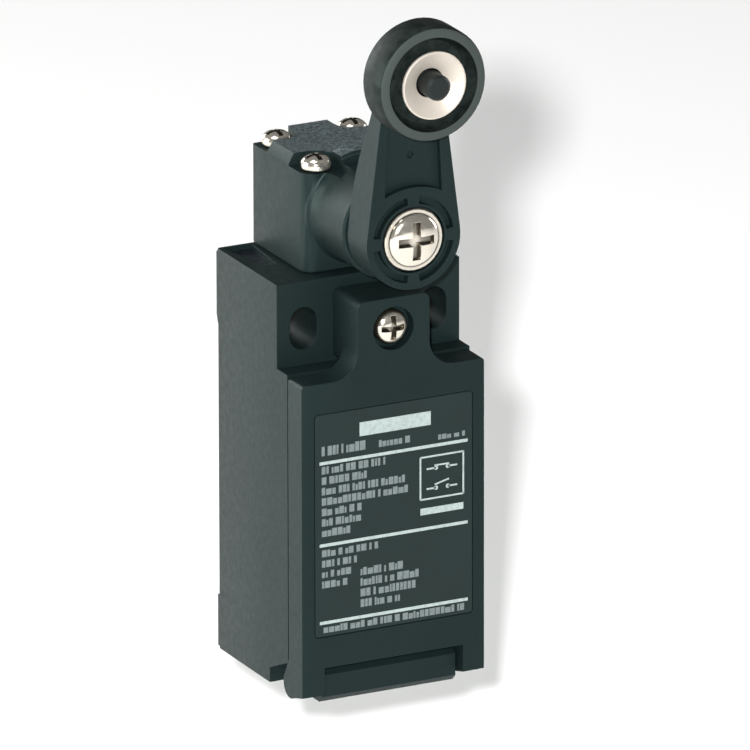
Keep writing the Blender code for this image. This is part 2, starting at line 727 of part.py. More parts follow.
def make_terminal(name, side, arm_low, screw_height):
    """Fixed contact: an arm in the chamber, a leg through the case's front and a pad under the screw."""
    arm_high = arm_low + 0.8
    inner, outer = sorted((side * 5.3, side * 9.0))
    leg = sorted((side * 7.5, side * 9.0))
    pad = sorted((side * 4.2, side * 10.6))
    toward_pad = math.copysign(1, screw_height - arm_low)
    far = screw_height + toward_pad * 2.9
    low, high = sorted((far, arm_high if toward_pad < 0 else arm_low))
    terminal = block(name, pad, (16.3, 17.1), (low, high))
    join(terminal, block(name + "_leg", leg, (8.1, 16.8), (arm_low, arm_high)),
         block(name + "_arm", (inner, outer), (8.0, 10.0), (arm_low, arm_high)))
    spot = (side * 6.2, PLUNGER_FORWARD)
    contact = (arm_low - 0.3, arm_low + 0.3) if toward_pad < 0 else (arm_high - 0.3, arm_high + 0.3)
    join(terminal, rod(name + "_contact", "height", spot, contact, 0.8, 14))
    return cut(terminal, rod(name + "_hole", "forward", (side * TERMINAL_X, screw_height), (15.0, 18.5),
                             1.6, 16))


def square_washer(name, centre):
    half = 2.6
    plate = block(name, (centre[0] - half, centre[0] + half), (17.5, 18.2),
                  (centre[1] - half, centre[1] + half),
                  0.4, "forward", 1)
    return cut(plate, rod(name + "_hole", "forward", centre, (16.0, 20.0), 1.6, 16))


# ----------------------------------------------------------------- assembly

def build_fixed(plastic, dark, rubber, steel, brass):
    finish(make_housing(), plastic)
    finish(gasket_ring("cover_gasket", (22.75, 24.2), 0.25), rubber)
    finish(washer("cover_screw_insert", "forward", (0, COVER_SCREW_HEIGHT), (14.8, 20.2), (1.85, 2.7)),
           brass)
    finish(make_head(), plastic)
    finish(head_gasket_ring("head_gasket", (63.5, 64.8), 0.25), rubber)
    for number, spot in enumerate(screw_places(), 1):
        screw = pan_screw("head_screw_%d" % number, "height", spot, POCKET_FLOOR + GAP, 57.8,
                          (HEAD_SCREW_RADIUS, 2.0), 1.2, 20)
        finish(screw, steel)
    centre = (0, SHAFT_HEIGHT)
    finish(washer("shaft_bush", "forward", centre, (18.2, 26.2), (3.25, 4.7), 32), brass)
    finish(round_seal("shaft_seal", "forward", centre, 27.5, 4.45, 2.2), rubber)
    finish(make_plunger_guide(), brass)
    finish(round_seal("plunger_seal", "height", (0, PLUNGER_FORWARD), 56.2, 2.45, 1.4, 24), rubber)
    finish(coil("plunger_spring", PLUNGER_FORWARD, (62.8, 66.8), 2.2, 0.55, 3.5), steel)
    finish(make_case(), dark)
    finish(block("switch_back", (-9.1, 9.1), (CASE_BACK, 5.0), (23.6, 45.5)), dark)
    finish(coil("carrier_spring", PLUNGER_FORWARD, (23.6, 27.3), 1.4, 0.5, 3.5), steel)
    for side, hand in ((-1, "left"), (1, "right")):
        screw = pan_screw("case_screw_" + hand, "forward", (side * 8.2, 19.4), 6.9, 1.6, (2.1, 1.4), 0.9, 12)
        finish(screw, steel)
        for row, arm_low, screw_height in terminal_levels():
            name = "%s_%s" % (row, hand)
            spot = (side * TERMINAL_X, screw_height)
            finish(make_terminal("terminal_" + name, side, arm_low, screw_height), brass)
            finish(square_washer("terminal_washer_" + name, spot), steel)
            screw = pan_screw("terminal_screw_" + name, "forward", spot, 18.5, 13.4, (2.5, 1.8), 1.2, 12)
            finish(screw, steel)


def build_cover(plastic, film, steel):
    hinge = axis_empty("cover_hinge_axis", place(0, HINGE_FORWARD, HINGE_HEIGHT))
    finish(make_cover(), plastic, hinge)
    finish(make_label(), film, hinge)
    slide = axis_empty("cover_screw_axis", place(0, 27.0, COVER_SCREW_HEIGHT), hinge)
    finish(make_cover_screw(), steel, slide)
    finish(washer("cover_screw_clip", "forward", (0, COVER_SCREW_HEIGHT), (21.5, 22.2), (1.7, 2.9)),
           steel, slide)


def build_plunger(steel, dark, brass):
    press = axis_empty("plunger_axis", place(0, PLUNGER_FORWARD, 60.0))
    finish(make_plunger(), steel, press)
    lower = axis_empty("carrier_axis", place(0, PLUNGER_FORWARD, 40.0))
    finish(make_carrier(), dark, lower)
    finish(make_bridge("nc_bridge", NC_BRIDGE_LOW, 1), brass, lower)
    finish(make_bridge("no_bridge", NO_BRIDGE_LOW, -1), brass, lower)


def build_lever(plastic, dark, steel, roller_plastic):
    swing = axis_empty("lever_axis", place(0, LEVER_FRONT, SHAFT_HEIGHT))
    centre = (0, SHAFT_HEIGHT)
    finish(make_shaft(), steel, swing)
    finish(make_cam(), dark, swing)
    finish(washer("shaft_clip", "forward", centre, (11.9, 12.5), (3.3, 4.6)), steel, swing)
    finish(make_lever(), plastic, swing)
    finish(washer("lever_washer", "forward", centre, (34.75, 35.15), (2.5, 5.05), 36), dark, swing)
    finish(make_lever_screw(), steel, swing)
    finish(make_roller_pin(), dark, swing)
    finish(make_roller_washer(), steel, swing)
    spin = axis_empty("roller_axis", place(0, ROLLER_FRONT, ROLLER_HEIGHT), swing)
    finish(make_roller(), roller_plastic, spin)


def main():
    plastic = new_material("green_grey_plastic", (0.045, 0.06, 0.057), 0.5)
    roller_plastic = new_material("charcoal_plastic", (0.05, 0.056, 0.056), 0.55)
    dark = new_material("black_plastic", (0.018, 0.02, 0.02), 0.45)
    rubber = new_material("black_rubber", (0.02, 0.02, 0.02), 0.8)
    film = new_material("label_film", (0.02, 0.028, 0.03), 0.4)
    steel = new_material("nickel_plated_steel", (0.78, 0.74, 0.68), 0.25, 1.0)
    brass = new_material("brass", (0.72, 0.5, 0.2), 0.3, 1.0)
    build_fixed(plastic, dark, rubber, steel, brass)
    build_cover(plastic, film, steel)
    build_plunger(steel, dark, brass)
    build_lever(plastic, dark, steel, roller_plastic)


for existing in list(bpy.data.objects):
    bpy.data.objects.remove(existing)
PARTS = new_collection("limit_switch")
CUTTERS = new_collection("cutters")
main()
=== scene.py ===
"""Looks of a roller lever limit switch: its finishes, small visual pieces, floor, lights and camera."""
import json
import math
import random

import bmesh
import bpy
from mathutils import Matrix, Quaternion, Vector


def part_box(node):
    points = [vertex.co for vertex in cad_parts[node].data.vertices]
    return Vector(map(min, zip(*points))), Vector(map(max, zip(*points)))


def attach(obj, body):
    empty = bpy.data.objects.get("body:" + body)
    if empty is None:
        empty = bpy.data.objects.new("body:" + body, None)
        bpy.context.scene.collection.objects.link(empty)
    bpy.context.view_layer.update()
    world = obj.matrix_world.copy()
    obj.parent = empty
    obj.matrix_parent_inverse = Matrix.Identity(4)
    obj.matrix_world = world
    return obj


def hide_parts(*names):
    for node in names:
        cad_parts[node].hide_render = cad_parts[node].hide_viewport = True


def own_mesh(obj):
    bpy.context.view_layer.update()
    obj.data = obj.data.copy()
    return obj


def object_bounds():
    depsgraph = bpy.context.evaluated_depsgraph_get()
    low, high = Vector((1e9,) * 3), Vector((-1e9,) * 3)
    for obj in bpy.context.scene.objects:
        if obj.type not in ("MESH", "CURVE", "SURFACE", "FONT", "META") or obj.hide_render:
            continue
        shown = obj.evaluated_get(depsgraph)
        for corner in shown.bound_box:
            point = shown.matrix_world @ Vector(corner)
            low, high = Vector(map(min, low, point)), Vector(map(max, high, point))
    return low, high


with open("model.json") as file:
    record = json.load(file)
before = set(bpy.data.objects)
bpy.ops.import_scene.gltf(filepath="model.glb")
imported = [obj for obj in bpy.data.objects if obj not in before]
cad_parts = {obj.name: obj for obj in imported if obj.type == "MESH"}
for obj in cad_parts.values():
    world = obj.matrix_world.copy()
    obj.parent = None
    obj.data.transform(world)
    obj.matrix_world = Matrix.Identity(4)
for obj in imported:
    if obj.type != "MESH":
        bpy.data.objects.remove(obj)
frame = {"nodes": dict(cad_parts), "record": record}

MM = 0.001
WELD_DISTANCE = 0.001 * MM
SMOOTH_BELOW = math.radians(32)

# Linear colours
PLASTIC_GLOSS = (0.72, 1.0, 0.98, 1.0)
PLASTIC = (0.0048, 0.0091, 0.0090)
HOUSING_TOP_GRAIN = (0.006, 0.008, 0.012)
# The head's coarse top face: much paler than the same plastic, partly painted light on the upward face
HEAD_TOP_GRAIN_AND_LIGHT = (0.056, 0.070, 0.075)
INNER_PLASTIC = (0.010, 0.011, 0.011)
RUBBER = (0.012, 0.012, 0.012)
TREAD_DARK = (0.0040, 0.0060, 0.0055)
TREAD_SCUFFED = (0.0145, 0.0185, 0.0170)
ROLLER_RIM = (0.034, 0.041, 0.038)
DISC_NICKEL = (0.43, 0.39, 0.34)
BRIGHT_NICKEL = (0.72, 0.67, 0.58)
STEEL = (0.60, 0.60, 0.58)
BRASS = (0.72, 0.50, 0.22)
# Painted shade: the dark brownish colour laid into the recesses of plated parts
PAINTED_RECESS_SHADE = (0.045, 0.038, 0.024)
FILM = (0.0050, 0.0085, 0.0082)
INK_BOLD = (0.26, 0.31, 0.30)
INK_FINE = (0.105, 0.128, 0.128)
FLOOR_TONES = ((0.87, 0.87, 0.87), (0.89, 0.89, 0.89))

# Surface detail
LUMP_SIZE = 0.65 * MM
LUMP_DEPTH = 0.45 * MM
# How far the painted recess shade looks for nearby surfaces
PAINTED_SHADE_REACH = 1.3 * MM
RING_PITCH = 0.55 * MM
RIM_START = 0.79
RIM_FULL = 0.82

# Camera: its direction from the object in degrees, its distance, and its aim beside and above the foot line
CAMERA_AZIMUTH = -26.64
CAMERA_ELEVATION = 18.66
CAMERA_ROLL = -0.1
CAMERA_DISTANCE = 2.6727
CAMERA_RIGHT = 0.01021
CAMERA_UP = 0.03957
CAMERA_LENS = 833.4
CAMERA_CLIP = 20.0
SENSOR_WIDTH = 36.0

# Middle of the housing's lower back edge, from which the camera and the seal lips are placed
HOUSING_FOOT_LINE = Vector((0.0, -0.0004, -0.0571))

# Label print, in millimetres
PRINT_THICKNESS = 0.03
PRINT_MARGIN = 0.75
RULE_WIDTH = 0.5
LINE_HALF = 0.14
BAR_WIDTHS = (0.3, 0.95)
BAR_GAPS = (0.12, 0.12, 0.16, 0.5)
BAR_DIPS = (0.0, 0.0, 0.2)
ROW_END_ROOM = 0.4
PRINT_SEED = 7

# Blocks of fine print: left edge, row ends, first row and row pitch as shares of the label, then how high
# the bars are, in millimetres
PRINT_BLOCKS = [
    (-0.97, (-0.1, -0.35, 0.15, 0.2, -0.4, -0.42, -0.55), 0.733, 0.047, 1.2),
    (-0.97, (-0.2, -0.5, -0.55, -0.6), 0.36, 0.047, 1.1),
    (-0.45, (0.15, 0.35, 0.3, 0.1), 0.25, 0.048, 1.25),
]

# Contact symbol, in millimetres from its middle
LEAD_START = 1.0
LEAD_END = 2.6
DOT_RADIUS = 0.34
DOT_SIDES = 20
ARM_HALF_LENGTH = 1.25
ARM_LINE_HALF = 0.13
ARM_LIFT_CLOSED = 0.42
ARM_LIFT_OPEN = 0.85
ARM_TURN_OPEN = -14

# Thread inside the conduit opening. Its turns end below the cover's gasket, and its base sinks into the bore
CONDUIT_AXIS_Y = -0.0143
THREAD_PITCH = 1.5 * MM
THREAD_OUTER = 10.04 * MM
THREAD_INNER = 9.35 * MM
THREAD_INSET = 1.1 * MM
THREAD_BASE_SHARE = 0.42
THREAD_TURNS = 3
THREAD_STEPS = 48

# The opened cover swings below the housing's foot, so the floor lies this far under it
FLOOR_DROP = 30 * MM
FLOOR_SIZE = 8.0
WORLD_STRENGTH = 0.13

# Springs, each with the joint that presses it
PRESSED_SPRINGS = {"plunger_spring": "plunger_press", "carrier_spring": "carrier_slide"}

# Seal lips, in millimetres from HOUSING_FOOT_LINE: across, forward and up, each as a low and a high end
COVER_LIP = [
    ((-13.2, -12.97), (24.21, 24.6), (8.3, 47.4)),
    ((12.97, 13.2), (24.21, 24.6), (8.3, 47.4)),
]
NECK_LIP = [
    ((-5.9, -5.0), (20.51, 20.77), (52.6, 61.0)),
    ((5.0, 5.9), (20.51, 20.77), (52.6, 61.0)),
]

cad_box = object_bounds()


# ------------------------------------------------------------------ node helpers

def add(tree, kind, inputs=None, **settings):
    """A node with its settings, whose inputs are given as numbers or as the sockets they come from."""
    node = tree.nodes.new(kind)
    for key, value in settings.items():
        setattr(node, key, value)
    for socket, value in (inputs or {}).items():
        if isinstance(value, bpy.types.NodeSocket):
            tree.links.new(value, node.inputs[socket])
        else:
            node.inputs[socket].default_value = value
    return node


def new_finish(name):
    material = bpy.data.materials.new(name)
    material.use_nodes = True
    tree = material.node_tree
    return material, tree, tree.nodes["Principled BSDF"]


def object_coordinates(tree):
    return add(tree, "ShaderNodeTexCoord").outputs["Object"]


def noise(tree, where, size, detail=3.0, roughness=0.55):
    """Noise whose features are about size metres across."""
    return add(tree, "ShaderNodeTexNoise", {"Vector": where, "Scale": 1 / size, "Detail": detail,
                                           "Roughness": roughness}).outputs["Fac"]


def remap(tree, value, start, end, low, high):
    return add(tree, "ShaderNodeMapRange", {"Value": value, "From Min": start, "From Max": end,
                                           "To Min": low, "To Max": high}).outputs["Result"]


def multiply(tree, first, second):
    return add(tree, "ShaderNodeMath", {0: first, 1: second}, operation="MULTIPLY").outputs[0]


def blend_colours(tree, share, first, second):
    """Colour between first and second; each is a colour or a socket."""
    node = add(tree, "ShaderNodeMix", {"Factor": share}, data_type="RGBA")
    for socket, colour in ((node.inputs[6], first), (node.inputs[7], second)):
        if isinstance(colour, bpy.types.NodeSocket):
            tree.links.new(colour, socket)
        else:
            socket.default_value = (*colour, 1.0)
    return node.outputs[2]


def shades(colour, spread):
    """A darker and a lighter neighbour of a colour."""
    return [tuple(channel * factor for channel in colour) for factor in (1 - spread, 1 + spread)]


def rounded(tree, radius):
    """The surface normal, as if every edge were rounded."""
    return add(tree, "ShaderNodeBevel", {"Radius": radius}, samples=4).outputs["Normal"]


def bump(tree, height, strength, distance, **normal):
    """The surface normal tilted by a height, on top of another normal if one is given as Normal."""
    inputs = {"Height": height, "Strength": strength, "Distance": distance, **normal}
    return add(tree, "ShaderNodeBump", inputs).outputs["Normal"]


def connect(tree, shader, colour, roughness):
    tree.links.new(colour, shader.inputs["Base Color"])
    tree.links.new(roughness, shader.inputs["Roughness"])


def edge_wear(tree, where, reach):
    """0 on flat faces and up to 1 along sharp edges, broken up by noise."""
    wide = rounded(tree, reach)
    true = add(tree, "ShaderNodeNewGeometry").outputs["Normal"]
    turn = add(tree, "ShaderNodeVectorMath", {0: wide, 1: true}, operation="DOT_PRODUCT").outputs["Value"]
    edge = remap(tree, turn, 0.985, 0.86, 0.0, 1.0)
    patchy = remap(tree, noise(tree, where, 1.6 * MM, 4.0), 0.42, 0.66, 0.15, 1.0)
    return multiply(tree, edge, patchy)


def facing_up(tree, where, low, high):
    """1 on faces that look up and lie between two heights, else 0."""
    normal = add(tree, "ShaderNodeTexCoord").outputs["Normal"]
    up = add(tree, "ShaderNodeSeparateXYZ", {0: normal}).outputs["Z"]
    height = add(tree, "ShaderNodeSeparateXYZ", {0: where}).outputs["Z"]
    above = remap(tree, height, low - 0.05 * MM, low, 0.0, 1.0)
    below = remap(tree, height, high, high + 0.05 * MM, 1.0, 0.0)
    return multiply(tree, remap(tree, up, 0.75, 0.95, 0.0, 1.0), multiply(tree, above, below))


# ------------------------------------------------------------------ finishes

def moulded(name, colour, roughness, grain=0.22 * MM, depth=0.012 * MM, worn=1.9, granular=None,
            grain_and_light_colour=None):
    """Satin moulding: fine grain, slow colour drift, paler worn edges and, if asked, a coarse top with
    painted highlights on its lumps and painted shade between them.
    """
    material, tree, shader = new_finish(name)
    where = object_coordinates(tree)
    drift = remap(tree, noise(tree, where, 14 * MM, 4.0), 0.3, 0.7, 0.0, 1.0)
    body = blend_colours(tree, drift, *shades(colour, 0.12))
    speck = remap(tree, noise(tree, where, 0.35 * MM, 2.0), 0.35, 0.7, 0.0, 0.35)
    body = blend_colours(tree, speck, body, tuple(channel * 1.35 for channel in colour))
    wear = edge_wear(tree, where, 0.3 * MM)
    pale = tuple(channel * worn for channel in colour)
    body = blend_colours(tree, multiply(tree, wear, 0.45), body, pale)
    fine = bump(tree, noise(tree, where, grain, 4.0), 0.55, depth, Normal=rounded(tree, 0.14 * MM))
    rough = remap(tree, noise(tree, where, 1.1 * MM, 4.0), 0.3, 0.7, roughness - 0.06, roughness + 0.07)
    if granular:
        mask = facing_up(tree, where, *granular)
        lumps = noise(tree, where, LUMP_SIZE, 5.0, 0.7)
        fine = bump(tree, multiply(tree, lumps, mask), 1.0, LUMP_DEPTH, Normal=fine)
        # Painted highlight and shade: lump peaks are coloured lighter and hollows darker, following the
        # bump's own noise
        painted_grain_light = remap(tree, lumps, 0.42, 0.6, 0.0, 1.0)
        grain_tones_and_light = blend_colours(tree, painted_grain_light, *shades(grain_and_light_colour, 0.6))
        body = blend_colours(tree, mask, body, grain_tones_and_light)
    connect(tree, shader, body, rough)
    tree.links.new(fine, shader.inputs["Normal"])
    shader.inputs["Specular IOR Level"].default_value = 0.16
    shader.inputs["Specular Tint"].default_value = PLASTIC_GLOSS
    return material


def roller_moulding(name, centre, tread_radius):
    """Charcoal moulding with a scuffed tread, a paler outer band on its front face and faint turning rings.
    """
    material, tree, shader = new_finish(name)
    where = object_coordinates(tree)
    local = add(tree, "ShaderNodeVectorMath", {0: where, 1: centre}, operation="SUBTRACT").outputs[0]
    without_depth = (1.0, 0.0, 1.0)
    flat = add(tree, "ShaderNodeVectorMath", {0: local, 1: without_depth}, operation="MULTIPLY").outputs[0]
    radius = add(tree, "ShaderNodeVectorMath", {0: flat}, operation="LENGTH").outputs["Value"]
    scuffs = remap(tree, noise(tree, where, 2.4 * MM, 6.0, 0.7), 0.4, 0.68, 0.0, 1.0)
    body = blend_colours(tree, scuffs, TREAD_DARK, TREAD_SCUFFED)
    normal = add(tree, "ShaderNodeTexCoord").outputs["Normal"]
    towards = add(tree, "ShaderNodeSeparateXYZ", {0: normal}).outputs["Y"]
    front = remap(tree, towards, -0.6, -0.95, 0.0, 1.0)
    outer = remap(tree, radius, RIM_START * tread_radius, RIM_FULL * tread_radius, 0.0, 1.0)
    body = blend_colours(tree, multiply(tree, front, outer), body, ROLLER_RIM)
    phase = multiply(tree, radius, 2 * math.pi / RING_PITCH)
    rings = add(tree, "ShaderNodeMath", {0: phase}, operation="SINE").outputs[0]
    turned = bump(tree, multiply(tree, rings, front), 0.18, 0.02 * MM, Normal=rounded(tree, 0.15 * MM))
    rubbed = bump(tree, noise(tree, where, 0.3 * MM, 5.0, 0.65), 0.6, 0.03 * MM, Normal=turned)
    rough = remap(tree, noise(tree, where, 1.5 * MM, 4.0), 0.3, 0.7, 0.44, 0.62)
    connect(tree, shader, body, rough)
    tree.links.new(rubbed, shader.inputs["Normal"])
    shader.inputs["Specular IOR Level"].default_value = 0.1
    shader.inputs["Specular Tint"].default_value = PLASTIC_GLOSS
    return material


def plated(name, colour, roughness, ripple=0.004 * MM, metallic=1.0, recess_shade=0.0):
    """Plated metal: tone drift, stains, rippled reflections and, if asked, painted shade in the recesses."""
    material, tree, shader = new_finish(name)
    where = object_coordinates(tree)
    drift = remap(tree, noise(tree, where, 3.0 * MM, 4.0), 0.3, 0.7, 0.0, 1.0)
    body = blend_colours(tree, drift, *shades(colour, 0.07))
    stain = remap(tree, noise(tree, where, 0.5 * MM, 5.0, 0.7), 0.62, 0.8, 0.0, 0.5)
    body = blend_colours(tree, stain, body, tuple(channel * 0.45 for channel in colour))
    if recess_shade:
        # Painted shade: where ambient occlusion finds nearby surfaces, the colour is pulled towards a dark
        # brown
        occlusion = add(tree, "ShaderNodeAmbientOcclusion", {"Distance": PAINTED_SHADE_REACH}, samples=8)
        share = remap(tree, occlusion.outputs["AO"], 0.62, 0.93, recess_shade, 0.0)
        body = blend_colours(tree, share, body, PAINTED_RECESS_SHADE)
    ripples = bump(tree, noise(tree, where, 0.9 * MM, 3.0), 0.5, ripple, Normal=rounded(tree, 0.12 * MM))
    rough = remap(tree, noise(tree, where, 0.7 * MM, 5.0), 0.3, 0.7, roughness - 0.05, roughness + 0.08)
    connect(tree, shader, body, rough)
    tree.links.new(ripples, shader.inputs["Normal"])
    shader.inputs["Metallic"].default_value = metallic
    return material


def seal_rubber():
    return moulded("seal_rubber", RUBBER, 0.72, 0.3 * MM, 0.02 * MM, 1.5)


def label_film():
    """Dark film with a slight orange-peel gloss."""
    material, tree, shader = new_finish("label_film")
    where = object_coordinates(tree)
    drift = remap(tree, noise(tree, where, 9 * MM, 3.0), 0.3, 0.7, 0.0, 1.0)
    body = blend_colours(tree, drift, *shades(FILM, 0.1))
    peel = bump(tree, noise(tree, where, 0.9 * MM, 2.0), 0.3, 0.01 * MM)
    rough = remap(tree, noise(tree, where, 1.6 * MM, 3.0), 0.3, 0.7, 0.36, 0.46)
    connect(tree, shader, body, rough)
    tree.links.new(peel, shader.inputs["Normal"])
    shader.inputs["Specular IOR Level"].default_value = 0.3
    shader.inputs["Specular Tint"].default_value = PLASTIC_GLOSS
    return material


def label_ink(name, colour):
    """Pale print that is a little thin in places."""
    material, tree, shader = new_finish(name)
    where = object_coordinates(tree)
    thin = remap(tree, noise(tree, where, 0.45 * MM, 4.0, 0.7), 0.45, 0.75, 0.0, 0.6)
    body = blend_colours(tree, thin, colour, tuple(channel * 0.4 for channel in colour))
    rough = remap(tree, noise(tree, where, 0.8 * MM, 3.0), 0.3, 0.7, 0.5, 0.65)
    connect(tree, shader, body, rough)
    return material


def floor_finish():
    material, tree, shader = new_finish("pale_floor")
    where = object_coordinates(tree)
    body = blend_colours(tree, noise(tree, where, 0.3, 3.0), *FLOOR_TONES)
    tree.links.new(body, shader.inputs["Base Color"])
    shader.inputs["Roughness"].default_value = 0.85
    shader.inputs["Specular IOR Level"].default_value = 0.1
    return material


# ------------------------------------------------------------------ CAD nodes

def weld_and_smooth():
    """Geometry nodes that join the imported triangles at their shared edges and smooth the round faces."""
    group = bpy.data.node_groups.new("weld_and_smooth", "GeometryNodeTree")
    group.interface.new_socket("Geometry", in_out="INPUT", socket_type="NodeSocketGeometry")
    group.interface.new_socket("Geometry", in_out="OUTPUT", socket_type="NodeSocketGeometry")
    start = add(group, "NodeGroupInput").outputs[0]
    plain = add(group, "GeometryNodeRemoveAttribute", {"Geometry": start, "Name": "custom_normal"})
    welded = add(group, "GeometryNodeMergeByDistance", {"Geometry": plain.outputs[0],
                                                        "Distance": WELD_DISTANCE}).outputs[0]
    soft = add(group, "GeometryNodeSetShadeSmooth", {"Geometry": welded, "Shade Smooth": True},
               domain="FACE").outputs[0]
    angle = add(group, "GeometryNodeInputMeshEdgeAngle").outputs["Unsigned Angle"]
    sharp = add(group, "FunctionNodeCompare", {0: angle, 1: SMOOTH_BELOW}, data_type="FLOAT",
                operation="GREATER_THAN").outputs[0]
    done = add(group, "GeometryNodeSetShadeSmooth", {"Geometry": soft, "Selection": sharp,
                                                     "Shade Smooth": False}, domain="EDGE").outputs[0]
    group.links.new(done, add(group, "NodeGroupOutput").inputs[0])
    return group


def paint(piece, material):
    piece.data.materials.clear()
    piece.data.materials.append(material)


def piece_from(shape, name, placement, material):
    """A new object from a bmesh, which placement brings into the frame."""
    mesh = bpy.data.meshes.new(name)
    shape.to_mesh(mesh)
    shape.free()
    mesh.transform(placement)
    piece = bpy.data.objects.new(name, mesh)
    bpy.context.scene.collection.objects.link(piece)
    paint(piece, material)
    return piece


def finish_cad_nodes(finishes, special):
    group = weld_and_smooth()
    for part in frame["record"]["subparts"]:
        node = frame["nodes"][part["node"]]
        paint(node, special.get(part["node"], finishes[part["material_slot"]]))
        node.modifiers.new("weld_and_smooth", "NODES").node_group = group


# ------------------------------------------------------------------ springs

def pressed_spring(node):
    """A copy of the CAD spring in its place, carried by the body, with the CAD node hidden."""
    source = frame["nodes"][node]
    coil = source.copy()
    coil.data = source.data.copy()
    coil.name = node + "_coil"
    bpy.context.scene.collection.objects.link(coil)
    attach(coil, "body")
    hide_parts(node)
    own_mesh(coil)


# ------------------------------------------------------------------ printed label

def mark_bar(shape, left, right, low, high, turn=0.0):
    """One printed bar on the label's plane, in millimetres across and up."""
    made = bmesh.ops.create_cube(shape, size=1.0)["verts"]
    turned = Matrix.Rotation(math.radians(turn), 3, "Y")
    bmesh.ops.scale(shape, vec=(right - left, PRINT_THICKNESS, high - low), verts=made)
    bmesh.ops.rotate(shape, cent=(0, 0, 0), matrix=turned, verts=made)
    bmesh.ops.translate(shape, vec=((left + right) / 2, 0, (low + high) / 2), verts=made)


def mark_dot(shape, x, up, radius):
    turn = Matrix.Translation((x, 0, up)) @ Matrix.Rotation(math.radians(90), 4, "X")
    bmesh.ops.create_cone(shape, cap_ends=True, segments=DOT_SIDES, radius1=radius, radius2=radius,
                          depth=PRINT_THICKNESS, matrix=turn)


def small_row(shape, rng, left, right, low, height):
    """A row of small plain bars of uneven width, as fine print looks from afar."""
    x = left
    while x < right - ROW_END_ROOM:
        width = min(rng.uniform(*BAR_WIDTHS), right - x)
        dip = rng.choice(BAR_DIPS)
        mark_bar(shape, x, x + width, low, low + height * (1 - dip))
        x += width + rng.choice(BAR_GAPS)


def contact_symbol(shape, x, up, closed):
    """A plain switch contact: two leads, two dots and a moving arm."""
    mark_bar(shape, x - LEAD_END, x - LEAD_START, up - LINE_HALF, up + LINE_HALF)
    mark_bar(shape, x + LEAD_START, x + LEAD_END, up - LINE_HALF, up + LINE_HALF)
    mark_dot(shape, x - LEAD_START, up, DOT_RADIUS)
    mark_dot(shape, x + LEAD_START, up, DOT_RADIUS)
    arm = up + (ARM_LIFT_CLOSED if closed else ARM_LIFT_OPEN)
    mark_bar(shape, x - ARM_HALF_LENGTH, x + ARM_HALF_LENGTH, arm - ARM_LINE_HALF, arm + ARM_LINE_HALF,
             0 if closed else ARM_TURN_OPEN)


def print_piece(name, material, draw):
    """A thin printed piece on the label film, which rides on the cover."""
    low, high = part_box("label_plate")
    shape = bmesh.new()
    draw(shape, (high.x - low.x) / (2 * MM) - PRINT_MARGIN, (high.z - low.z) / MM)
    corner = Matrix.Translation((0, low.y - 0.5 * PRINT_THICKNESS * MM, low.z))
    piece = piece_from(shape, name, corner @ Matrix.Scale(MM, 4), material)
    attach(piece, "cover")


def draw_rules(shape, half, height):
    """Three long rules and the bold bar at the top."""
    for share in (0.775, 0.405, 0.055):
        level = share * height
        mark_bar(shape, -half, half, level, level + RULE_WIDTH)
    mark_bar(shape, -0.46 * half, 0.5 * half, 0.878 * height, 0.94 * height)


def draw_fine_print(shape, half, height):
    """The heading's three short rows, the blocks below it and the long last row."""
    rng = random.Random(PRINT_SEED)
    small_row(shape, rng, -0.97 * half, -0.35 * half, 0.815 * height, 1.5)
    small_row(shape, rng, -0.2 * half, 0.25 * half, 0.815 * height, 1.1)
    small_row(shape, rng, 0.6 * half, 0.97 * half, 0.805 * height, 0.8)
    for left, ends, first, pitch, bar_height in PRINT_BLOCKS:
        for row, end in enumerate(ends):
            small_row(shape, rng, left * half, end * half, (first - pitch * row) * height, bar_height)
    small_row(shape, rng, -0.95 * half, 0.95 * half, 0.016 * height, 1.1)


def draw_symbols(shape, half, height):
    """A frame with two contact symbols in it, and a bold bar under it."""
    left, right = 0.36 * half, 0.94 * half
    low, high = 0.545 * height, 0.735 * height
    for level in (low, high):
        mark_bar(shape, left, right, level - LINE_HALF, level + LINE_HALF)
    for across in (left, right):
        mark_bar(shape, across - LINE_HALF, across + LINE_HALF, low, high)
    contact_symbol(shape, 0.65 * half, 0.68 * height, True)
    contact_symbol(shape, 0.65 * half, 0.59 * height, False)
    mark_bar(shape, left, right, 0.475 * height, 0.505 * height)


def print_label():
    bold = label_ink("label_ink_bold", INK_BOLD)
    fine = label_ink("label_ink_fine", INK_FINE)
    print_piece("label_rules", bold, draw_rules)
    print_piece("label_fine_print", fine, draw_fine_print)
    print_piece("label_symbols", bold, draw_symbols)


# ------------------------------------------------------------------ conduit thread

def thread_section(angle, level):
    """The thread's triangle at one place along its helix."""
    direction = Vector((math.cos(angle), math.sin(angle), 0))
    middle = Vector((0, CONDUIT_AXIS_Y, level))
    half = Vector((0, 0, THREAD_BASE_SHARE * THREAD_PITCH))
    base = middle + direction * THREAD_OUTER
    return [base - half, middle + direction * THREAD_INNER, base + half]


def conduit_thread(material):
    """The ridge that a gland screws onto, wound inside the plain conduit bore."""
    shape = bmesh.new()
    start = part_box("housing")[0].z + THREAD_INSET
    sections = []
    for step in range(THREAD_TURNS * THREAD_STEPS + 1):
        turns = step / THREAD_STEPS
        points = thread_section(2 * math.pi * turns, start + THREAD_PITCH * turns)
        sections.append([shape.verts.new(point) for point in points])
    for first, second in zip(sections, sections[1:]):
        for corner in range(3):
            following = (corner + 1) % 3
            shape.faces.new((first[corner], first[following], second[following], second[corner]))
    shape.faces.new(sections[0])
    shape.faces.new(sections[-1])
    bmesh.ops.recalc_face_normals(shape, faces=shape.faces)
    piece = piece_from(shape, "conduit_thread", Matrix.Identity(4), material)
    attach(piece, "body")


# ------------------------------------------------------------------ seals

